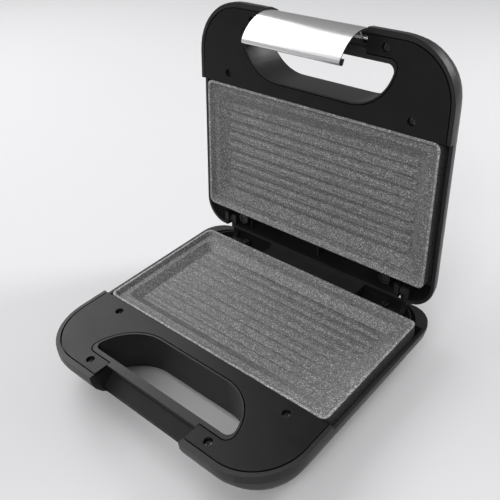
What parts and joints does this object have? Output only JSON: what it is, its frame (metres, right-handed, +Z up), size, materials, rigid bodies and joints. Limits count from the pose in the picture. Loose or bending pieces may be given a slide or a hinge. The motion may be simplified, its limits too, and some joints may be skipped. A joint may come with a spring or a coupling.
{
  "type": "sandwich toaster",
  "caption": "Clamshell sandwich toaster: rounded halves with ribbed grill plates and D-shaped hand openings, a rear-hinged lid and a curved steel clip that latches them.",
  "frame": {"origin": "on the floor, under the middle of the open toaster's bounding box", "axes": "+X to the right as seen from the handle side, +Y from the handle towards the hinge, +Z up; the lid is drawn open"},
  "size_m": [0.234, 0.2384, 0.2449],
  "materials": {
    "casing_plastic": "black moulded casing plastic with a fine spark-eroded texture",
    "panel_plastic": "black satin handle panel plastic with a fine texture",
    "plate_coating": "die-cast aluminium under a grey stone-speckled non-stick coating",
    "clip_steel": "satin bright stainless sheet",
    "zinc_steel": "bright zinc-plated steel",
    "screw_black": "blackened steel",
    "shield_steel": "thin bright pressed steel",
    "foot_rubber": "soft black rubber",
    "cream_plastic": "heat-proof cream moulding",
    "red_lens": "clear red moulded lens",
    "green_lens": "clear green moulded lens",
    "wire_sleeve": "silicone-sleeved heat-proof lead",
    "board_green": "green lamp card"
  },
  "bodies": {
    "base": {"base_casing": "casing_plastic", "base_handle_panel": "panel_plastic", "base_plate": "plate_coating", "base_heat_shield": "shield_steel", "base_heater": "zinc_steel", "base_heater_clamps": "zinc_steel", "base_panel_screws": "screw_black", "hinge_screws": "screw_black", "thermostat": "cream_plastic", "thermal_fuse": "zinc_steel", "terminal_block": "cream_plastic", "cord_gland": "foot_rubber", "cord_clamp": "casing_plastic", "foot_front_left": "foot_rubber", "foot_front_right": "foot_rubber", "foot_rear_left": "foot_rubber", "foot_rear_right": "foot_rubber", "foot_screws": "zinc_steel", "hinge_bracket_left": "casing_plastic", "hinge_bracket_right": "casing_plastic", "hinge_pin_left": "zinc_steel", "hinge_pin_right": "zinc_steel", "base_wires": "wire_sleeve"},
    "lid": {"lid_casing": "casing_plastic", "lid_handle_panel": "panel_plastic", "lid_plate": "plate_coating", "lid_heat_shield": "shield_steel", "lid_heater": "zinc_steel", "lid_heater_clamps": "zinc_steel", "lid_panel_screws": "screw_black", "lid_rear_screws": "screw_black", "lid_thermostat": "cream_plastic", "lamp_board": "board_green", "power_lamp_lens": "red_lens", "ready_lamp_lens": "green_lens", "lid_wires": "wire_sleeve", "latch_pin": "zinc_steel"},
    "latch": {"latch_clip": "clip_steel"}
  },
  "joints": [
    {"name": "lid_hinge", "type": "hinge", "parent": "base", "child": "lid", "pos_m": [0, 0.07551, 0.05055], "axis": [1, 0, 0], "range_deg": [0, 98.1]},
    {"name": "latch_swing", "type": "hinge", "parent": "lid", "child": "latch", "pos_m": [0, 0.09693, 0.23471], "axis": [1, 0, 0], "range_deg": [-26, 0]}
  ]
}
